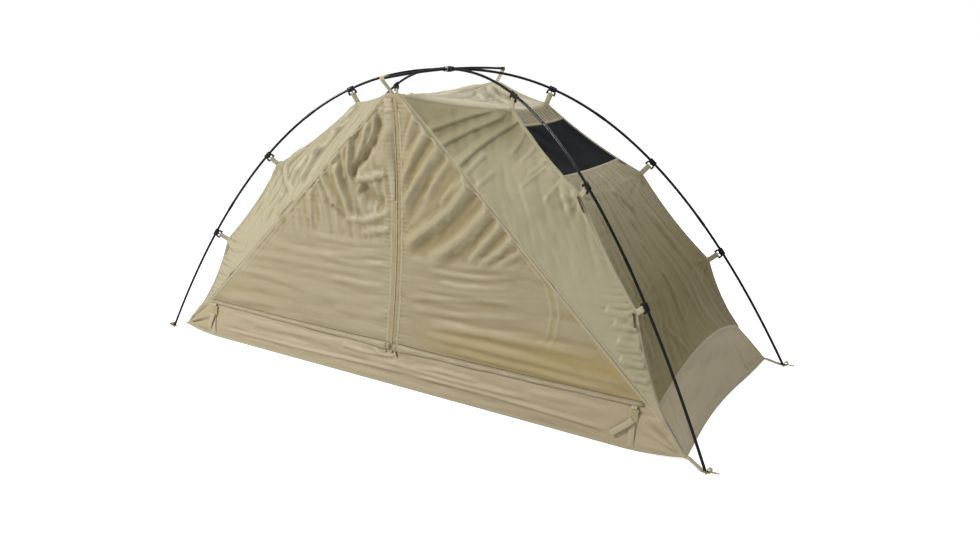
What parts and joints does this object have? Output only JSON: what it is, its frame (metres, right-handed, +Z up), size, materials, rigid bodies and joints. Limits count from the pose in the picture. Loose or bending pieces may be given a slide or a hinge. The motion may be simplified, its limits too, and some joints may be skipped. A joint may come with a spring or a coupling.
{
  "type": "bivvy tent",
  "caption": "Free-standing bivvy tent: canopy and bathtub floor clipped inside crossed poles, with door flaps, zips and mesh vents.",
  "frame": {"origin": "On the ground under the hub, at the middle of the footprint.", "axes": "+X runs along the tent, to the right for someone facing the door; +Y from the door side to the rear; +Z up."},
  "size_m": [2.4298, 0.9348, 1.1146],
  "materials": {
    "pole_black": "gloss",
    "hub_black": "satin",
    "band_pale": "satin",
    "clip_black": "satin",
    "canopy_cloth": "matte",
    "door_cloth": "matte",
    "tub_cloth": "satin",
    "vent_mesh": "matte",
    "webbing_tan": "matte",
    "buckle_tan": "satin",
    "zip_metal": "satin"
  },
  "bodies": {
    "tent": {"front_left_pole_upper": "pole_black", "front_left_pole_middle": "pole_black", "front_left_pole_lower": "pole_black", "front_left_clip_low": "clip_black", "front_left_clip_middle": "clip_black", "front_left_clip_high": "clip_black", "front_left_corner_strap": "webbing_tan", "front_right_pole_upper": "pole_black", "front_right_pole_middle": "pole_black", "front_right_pole_lower": "pole_black", "front_right_clip_low": "clip_black", "front_right_clip_middle": "clip_black", "front_right_clip_high": "clip_black", "front_right_corner_strap": "webbing_tan", "rear_left_pole_upper": "pole_black", "rear_left_pole_middle": "pole_black", "rear_left_pole_lower": "pole_black", "rear_left_clip_low": "clip_black", "rear_left_clip_middle": "clip_black", "rear_left_clip_high": "clip_black", "rear_left_corner_strap": "webbing_tan", "rear_right_pole_upper": "pole_black", "rear_right_pole_middle": "pole_black", "rear_right_pole_lower": "pole_black", "rear_right_clip_low": "clip_black", "rear_right_clip_middle": "clip_black", "rear_right_clip_high": "clip_black", "rear_right_corner_strap": "webbing_tan", "brow_pole": "pole_black", "hub": "hub_black", "hub_band": "band_pale", "brow_strap_front": "webbing_tan", "brow_strap_rear": "webbing_tan", "roof_panel": "canopy_cloth", "rear_wall": "canopy_cloth", "floor_sheet": "tub_cloth", "tub_front": "tub_cloth", "tub_rear": "tub_cloth", "front_panel_left": "canopy_cloth", "end_wall_left": "canopy_cloth", "vent_mesh_left": "vent_mesh", "tub_end_left": "tub_cloth", "left_buckle_female": "buckle_tan", "left_buckle_strap": "webbing_tan", "front_panel_right": "canopy_cloth", "end_wall_right": "canopy_cloth", "vent_mesh_right": "vent_mesh", "tub_end_right": "tub_cloth", "right_buckle_female": "buckle_tan", "right_buckle_strap": "webbing_tan"},
    "left_flap": {"door_flap_left": "door_cloth"},
    "right_flap": {"door_flap_right": "door_cloth"},
    "door_slider": {"door_zip_slider": "zip_metal"},
    "door_pull": {"door_zip_pull": "zip_metal"},
    "left_hem_slider": {"hem_zip_slider_left": "zip_metal"},
    "right_hem_slider": {"hem_zip_slider_right": "zip_metal"},
    "left_buckle_plug": {"left_buckle_male": "buckle_tan"},
    "right_buckle_plug": {"right_buckle_male": "buckle_tan"}
  },
  "joints": [
    {"name": "left_flap_swing", "type": "hinge", "parent": "tent", "child": "left_flap", "pos_m": [-0.51325, -0.3715, 0.59126], "axis": [-0.7387, -0.0549, -0.6717], "range_deg": [0, 100]},
    {"name": "right_flap_swing", "type": "hinge", "parent": "tent", "child": "right_flap", "pos_m": [0.51325, -0.3715, 0.59126], "axis": [-0.7387, 0.0549, 0.6717], "range_deg": [0, 100]},
    {"name": "door_zip_slide", "type": "slide", "parent": "right_flap", "child": "door_slider", "axis": [0, 0.0805, 0.9968], "range_m": [0, 0.855]},
    {"name": "door_zip_pull_swing", "type": "hinge", "parent": "door_slider", "child": "door_pull", "pos_m": [0.0057, -0.41338, 0.14156], "axis": [-1, 0, 0], "range_deg": [0, 150]},
    {"name": "left_hem_zip_slide", "type": "slide", "parent": "left_flap", "child": "left_hem_slider", "axis": [-0.9999, 0, 0.0105], "range_m": [0, 0.87]},
    {"name": "right_hem_zip_slide", "type": "slide", "parent": "right_flap", "child": "right_hem_slider", "axis": [0.9999, 0, 0.0105], "range_m": [0, 0.87]},
    {"name": "left_buckle_slide", "type": "slide", "parent": "tent", "child": "left_buckle_plug", "axis": [0, -0.2111, -0.9775], "range_m": [0, 0.028]},
    {"name": "right_buckle_slide", "type": "slide", "parent": "tent", "child": "right_buckle_plug", "axis": [0, -0.2111, -0.9775], "range_m": [0, 0.028]}
  ]
}
